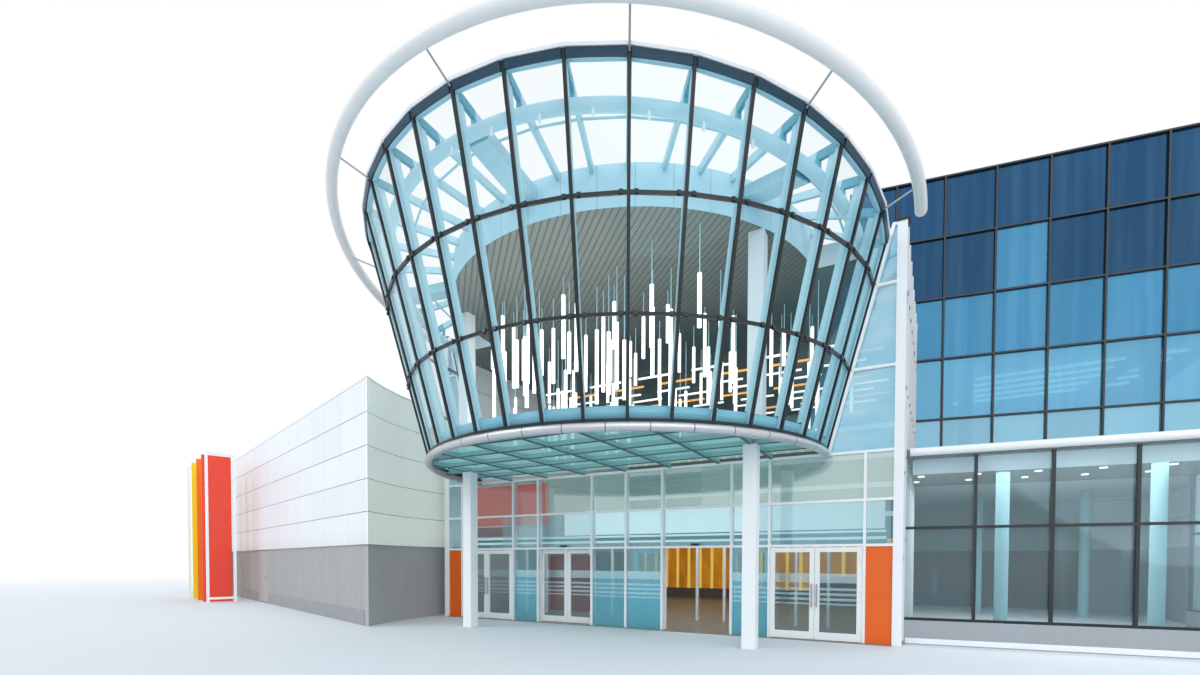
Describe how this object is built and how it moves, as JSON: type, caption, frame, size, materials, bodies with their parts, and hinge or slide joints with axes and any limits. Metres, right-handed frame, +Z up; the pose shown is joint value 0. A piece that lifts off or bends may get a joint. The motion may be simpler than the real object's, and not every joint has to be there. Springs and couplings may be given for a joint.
{
  "type": "hypermarket entrance building",
  "caption": "Glazed entrance hall with a widening half cone of glass and a halo tube, a white clad wing with coloured fins and a blue glazed block.",
  "frame": {"origin": "on the ground under the hall floor, in the plane of the entrance front, under the axis of the glass cone", "axes": "+X along the entrance front to the right, +Y into the building, +Z up"},
  "size_m": [39.6264, 21.5192, 13.96],
  "materials": {
    "white_metal": "smooth white paint",
    "silver_metal": "brushed",
    "dark_metal": "satin dark grey paint",
    "clear_glass": "clear",
    "blue_glass": "blue tinted, reflecting",
    "orange_panel": "satin orange paint",
    "red_panel": "satin red paint",
    "yellow_panel": "satin yellow paint",
    "pale_blue_metal": "satin pale blue paint",
    "white_cladding": "flat white metal cladding",
    "grey_metal": "ribbed grey sheet",
    "wall": "plastered masonry",
    "roofing": "grey roofing on concrete",
    "floor": "stone tiles on concrete",
    "stone": "grey stone"
  },
  "bodies": {
    "building": {"hall_floor": "floor", "front_mullions": "white_metal", "front_transoms": "white_metal", "front_glass": "clear_glass", "end_panels": "orange_panel", "end_posts": "white_metal", "door_tracks": "silver_metal", "hall_left_wall": "wall", "louvre_wall": "white_metal", "hall_rear_wall": "wall", "hall_roof": "roofing", "roof_drum": "pale_blue_metal", "columns": "white_metal", "cone_hoop": "silver_metal", "soffit_beams": "silver_metal", "soffit_glass": "clear_glass", "cone_ribs": "dark_metal", "cone_bands": "dark_metal", "cone_rim": "dark_metal", "cone_glass": "clear_glass", "rafters": "pale_blue_metal", "rafter_ring": "pale_blue_metal", "halo": "white_metal", "halo_struts": "silver_metal", "wing_floor": "floor", "wing_base": "grey_metal", "wing_curved_base": "grey_metal", "wing_plinth": "dark_metal", "wing_cladding": "white_cladding", "wing_curved_cladding": "white_cladding", "wing_back_walls": "white_cladding", "wing_roof": "roofing", "wing_cap": "white_cladding", "fin_portals": "white_metal", "fin_ties": "white_metal", "red_fin": "red_panel", "orange_fin": "orange_panel", "yellow_fin": "yellow_panel", "block_mullions": "dark_metal", "block_transoms": "dark_metal", "block_glass": "blue_glass", "block_walls": "wall", "block_slabs": "floor", "inner_columns": "wall", "pavilion_floor": "floor", "pavilion_plinth": "stone", "pavilion_mullions": "dark_metal", "pavilion_transoms": "dark_metal", "pavilion_glass": "clear_glass", "pavilion_roof": "roofing", "pavilion_rail": "white_metal"},
    "left_slider_a": {"left_slider_a": "white_metal"},
    "left_slider_b": {"left_slider_b": "white_metal"},
    "right_slider_a": {"right_slider_a": "white_metal"},
    "right_slider_b": {"right_slider_b": "white_metal"},
    "left_swing_a": {"left_swing_a": "white_metal"},
    "left_swing_b": {"left_swing_b": "white_metal"},
    "right_swing_a": {"right_swing_a": "white_metal"},
    "right_swing_b": {"right_swing_b": "white_metal"},
    "service_door": {"service_door": "grey_metal"}
  },
  "joints": [
    {"name": "left_slide_a", "type": "slide", "parent": "building", "child": "left_slider_a", "axis": [-1, 0, 0], "range_m": [0, 0.9]},
    {"name": "left_slide_b", "type": "slide", "parent": "building", "child": "left_slider_b", "axis": [1, 0, 0], "range_m": [0, 0.9]},
    {"name": "right_slide_a", "type": "slide", "parent": "building", "child": "right_slider_a", "axis": [1, 0, 0], "range_m": [0, 0.9]},
    {"name": "right_slide_b", "type": "slide", "parent": "building", "child": "right_slider_b", "axis": [-1, 0, 0], "range_m": [0, 0.9]},
    {"name": "left_hinge_a", "type": "hinge", "parent": "building", "child": "left_swing_a", "pos_m": [-6.042, -0.012, 0], "axis": [0, 0, -1], "range_deg": [0, 90]},
    {"name": "left_hinge_b", "type": "hinge", "parent": "building", "child": "left_swing_b", "pos_m": [-3.983, -0.012, 0], "axis": [0, 0, 1], "range_deg": [0, 90]},
    {"name": "right_hinge_a", "type": "hinge", "parent": "building", "child": "right_swing_a", "pos_m": [3.983, -0.012, 0], "axis": [0, 0, -1], "range_deg": [0, 90]},
    {"name": "right_hinge_b", "type": "hinge", "parent": "building", "child": "right_swing_b", "pos_m": [6.042, -0.012, 0], "axis": [0, 0, 1], "range_deg": [0, 90]},
    {"name": "service_hinge", "type": "hinge", "parent": "building", "child": "service_door", "pos_m": [-19.05415, 0.70905, 0], "axis": [0, 0, -1], "range_deg": [0, 90]}
  ],
  "couplings": [
    {"joint": "left_slide_b", "follows": "left_slide_a", "ratio": 1},
    {"joint": "right_slide_b", "follows": "right_slide_a", "ratio": 1}
  ]
}
